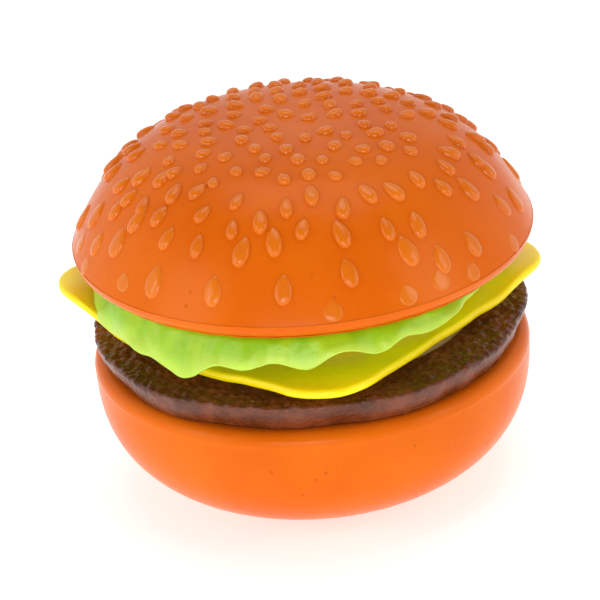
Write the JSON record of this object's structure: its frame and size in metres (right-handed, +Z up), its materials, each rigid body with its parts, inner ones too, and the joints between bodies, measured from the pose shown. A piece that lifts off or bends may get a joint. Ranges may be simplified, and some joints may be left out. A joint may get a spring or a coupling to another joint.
{
  "type": "novelty telephone",
  "caption": "Corded clamshell telephone shaped like a hamburger: the top bun opens on a rear hinge to show a keypad, earpiece and microphone.",
  "frame": {"origin": "centre of the rubber pad's underside, on the axis of the two buns", "axes": "+Z up, -Y towards the front, where the lid opens; the hinge is at +Y"},
  "size_m": [0.1338, 0.1381, 0.1059],
  "materials": {
    "top_bun_plastic": "moulded orange, glossy",
    "collar_plastic": "moulded orange, glossy",
    "bottom_bun_plastic": "moulded orange, glossy",
    "patty_plastic": "textured dark brown, glossy",
    "cheese_plastic": "moulded yellow, glossy",
    "lettuce_plastic": "moulded yellow-green, slightly translucent",
    "deck_plastic": "cream, fine texture",
    "key_plastic": "ivory, satin",
    "grey_rubber": "matte",
    "black_rubber": "matte",
    "black_plastic": "satin",
    "board": "green laminate",
    "plate_steel": "zinc plated",
    "case_steel": "plated",
    "brass": "turned",
    "lead_sleeve": "red insulation"
  },
  "bodies": {
    "base": {"bottom_bun_shell": "bottom_bun_plastic", "base_pad": "black_rubber", "ballast_plate": "plate_steel", "patty": "patty_plastic", "keypad_deck": "deck_plastic", "keypad_mat": "grey_rubber", "main_board": "board", "microphone": "case_steel", "microphone_boot": "black_rubber", "hook_switch": "black_plastic", "line_jack": "black_plastic", "ringer": "black_plastic", "ringer_switch_body": "black_plastic", "dial_mode_switch_body": "black_plastic", "lid_bumper_1": "grey_rubber", "lid_bumper_2": "grey_rubber", "hinge_pin": "plate_steel", "hinge_tube": "brass", "earpiece_lead_base": "lead_sleeve", "base_screw_1": "plate_steel", "base_screw_2": "plate_steel", "base_screw_3": "plate_steel", "base_screw_4": "plate_steel"},
    "lid": {"top_bun_shell": "top_bun_plastic", "lettuce_leaf": "lettuce_plastic", "cheese_slice": "cheese_plastic", "filling_collar": "collar_plastic", "earpiece_panel": "deck_plastic", "earpiece_gasket": "grey_rubber", "earpiece_speaker": "case_steel", "earpiece_clamp": "black_plastic", "clamp_screw_left": "plate_steel", "clamp_screw_right": "plate_steel", "lid_screw_1": "plate_steel", "lid_screw_2": "plate_steel", "lid_screw_3": "plate_steel", "earpiece_lead_lid": "lead_sleeve"},
    "hook": {"hook_plunger": "key_plastic"},
    "key_1": {"key_1": "key_plastic"},
    "key_2": {"key_2": "key_plastic"},
    "key_3": {"key_3": "key_plastic"},
    "key_4": {"key_4": "key_plastic"},
    "key_5": {"key_5": "key_plastic"},
    "key_6": {"key_6": "key_plastic"},
    "key_7": {"key_7": "key_plastic"},
    "key_8": {"key_8": "key_plastic"},
    "key_9": {"key_9": "key_plastic"},
    "key_star": {"key_star": "key_plastic"},
    "key_0": {"key_0": "key_plastic"},
    "key_hash": {"key_hash": "key_plastic"},
    "key_redial": {"key_redial": "key_plastic"},
    "key_flash": {"key_flash": "key_plastic"},
    "ringer_switch": {"ringer_switch_knob": "black_plastic"},
    "dial_mode_switch": {"dial_mode_switch_knob": "black_plastic"}
  },
  "joints": [
    {"name": "lid_hinge", "type": "hinge", "parent": "base", "child": "lid", "pos_m": [0, 0.0688, 0.0502], "axis": [-1, 0, 0], "range_deg": [0, 125]},
    {"name": "hook_slide", "type": "slide", "parent": "base", "child": "hook", "axis": [0, 0, 1], "range_m": [0, 0.0025]},
    {"name": "key_1_press", "type": "slide", "parent": "base", "child": "key_1", "axis": [0, 0, -1], "range_m": [0, 0.0012], "stiffness_N_per_m": 300},
    {"name": "key_2_press", "type": "slide", "parent": "base", "child": "key_2", "axis": [0, 0, -1], "range_m": [0, 0.0012], "stiffness_N_per_m": 300},
    {"name": "key_3_press", "type": "slide", "parent": "base", "child": "key_3", "axis": [0, 0, -1], "range_m": [0, 0.0012], "stiffness_N_per_m": 300},
    {"name": "key_4_press", "type": "slide", "parent": "base", "child": "key_4", "axis": [0, 0, -1], "range_m": [0, 0.0012], "stiffness_N_per_m": 300},
    {"name": "key_5_press", "type": "slide", "parent": "base", "child": "key_5", "axis": [0, 0, -1], "range_m": [0, 0.0012], "stiffness_N_per_m": 300},
    {"name": "key_6_press", "type": "slide", "parent": "base", "child": "key_6", "axis": [0, 0, -1], "range_m": [0, 0.0012], "stiffness_N_per_m": 300},
    {"name": "key_7_press", "type": "slide", "parent": "base", "child": "key_7", "axis": [0, 0, -1], "range_m": [0, 0.0012], "stiffness_N_per_m": 300},
    {"name": "key_8_press", "type": "slide", "parent": "base", "child": "key_8", "axis": [0, 0, -1], "range_m": [0, 0.0012], "stiffness_N_per_m": 300},
    {"name": "key_9_press", "type": "slide", "parent": "base", "child": "key_9", "axis": [0, 0, -1], "range_m": [0, 0.0012], "stiffness_N_per_m": 300},
    {"name": "key_star_press", "type": "slide", "parent": "base", "child": "key_star", "axis": [0, 0, -1], "range_m": [0, 0.0012], "stiffness_N_per_m": 300},
    {"name": "key_0_press", "type": "slide", "parent": "base", "child": "key_0", "axis": [0, 0, -1], "range_m": [0, 0.0012], "stiffness_N_per_m": 300},
    {"name": "key_hash_press", "type": "slide", "parent": "base", "child": "key_hash", "axis": [0, 0, -1], "range_m": [0, 0.0012], "stiffness_N_per_m": 300},
    {"name": "key_redial_press", "type": "slide", "parent": "base", "child": "key_redial", "axis": [0, 0, -1], "range_m": [0, 0.0012], "stiffness_N_per_m": 300},
    {"name": "key_flash_press", "type": "slide", "parent": "base", "child": "key_flash", "axis": [0, 0, -1], "range_m": [0, 0.0012], "stiffness_N_per_m": 300},
    {"name": "ringer_switch_slide", "type": "slide", "parent": "base", "child": "ringer_switch", "axis": [-0.4226, -0.9063, 0], "range_m": [-0.003, 0.003]},
    {"name": "dial_mode_switch_slide", "type": "slide", "parent": "base", "child": "dial_mode_switch", "axis": [-0.4226, 0.9063, 0], "range_m": [0, 0.004]}
  ],
  "couplings": [
    {"joint": "hook_slide", "follows": "lid_hinge", "m_per_rad": 0.001145}
  ]
}
